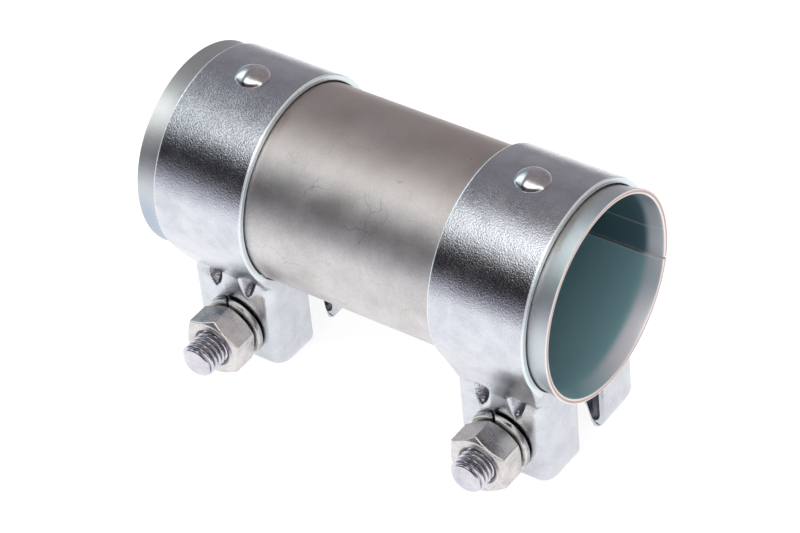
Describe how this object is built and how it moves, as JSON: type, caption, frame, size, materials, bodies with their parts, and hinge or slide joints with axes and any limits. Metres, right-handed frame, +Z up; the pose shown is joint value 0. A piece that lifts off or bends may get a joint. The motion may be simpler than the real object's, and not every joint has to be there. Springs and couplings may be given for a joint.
{
  "type": "pipe repair clamp",
  "caption": "Rolled steel sleeve with flared mouths, held on a pipe by two bolted band clamps with box-shaped ears, hex nuts and split spring washers.",
  "frame": {"origin": "middle of the bounding box's bottom, where the ears stand", "axes": "+X along the sleeve, +Z up, nuts facing -Y"},
  "size_m": [0.125, 0.0664, 0.0848],
  "materials": {
    "sleeve_zinc": "satin zinc plate on rolled sheet, blotched and lightly scratched",
    "band_zinc": "bright zinc plate on pressed strip",
    "rivet_zinc": "polished zinc plate",
    "bolt_zinc": "bright blue-white zinc plate",
    "washer_zinc": "zinc plate on spring steel",
    "nut_zinc": "warm grey matt zinc plate"
  },
  "bodies": {
    "clamp": {"sleeve": "sleeve_zinc", "band_left": "band_zinc", "rivet_left": "rivet_zinc", "bolt_left": "bolt_zinc", "band_right": "band_zinc", "rivet_right": "rivet_zinc", "bolt_right": "bolt_zinc"},
    "washer_left": {"spring_washer_left": "washer_zinc"},
    "nut_left": {"nut_left": "nut_zinc"},
    "washer_right": {"spring_washer_right": "washer_zinc"},
    "nut_right": {"nut_right": "nut_zinc"}
  },
  "joints": [
    {"name": "nut_travel_left", "type": "slide", "parent": "clamp", "child": "washer_left", "axis": [0, -1, 0], "range_m": [0, 0.006]},
    {"name": "nut_turn_left", "type": "hinge", "parent": "washer_left", "child": "nut_left", "pos_m": [-0.0425, -0.01798, 0.0137], "axis": [0, -1, 0], "range_deg": [0, 1440]},
    {"name": "nut_travel_right", "type": "slide", "parent": "clamp", "child": "washer_right", "axis": [0, -1, 0], "range_m": [0, 0.0045]},
    {"name": "nut_turn_right", "type": "hinge", "parent": "washer_right", "child": "nut_right", "pos_m": [0.0425, -0.01947, 0.0137], "axis": [0, -1, 0], "range_deg": [0, 1080]}
  ],
  "couplings": [
    {"joint": "nut_travel_left", "follows": "nut_turn_left", "m_per_rad": 0.00023873},
    {"joint": "nut_travel_right", "follows": "nut_turn_right", "m_per_rad": 0.00023873}
  ]
}
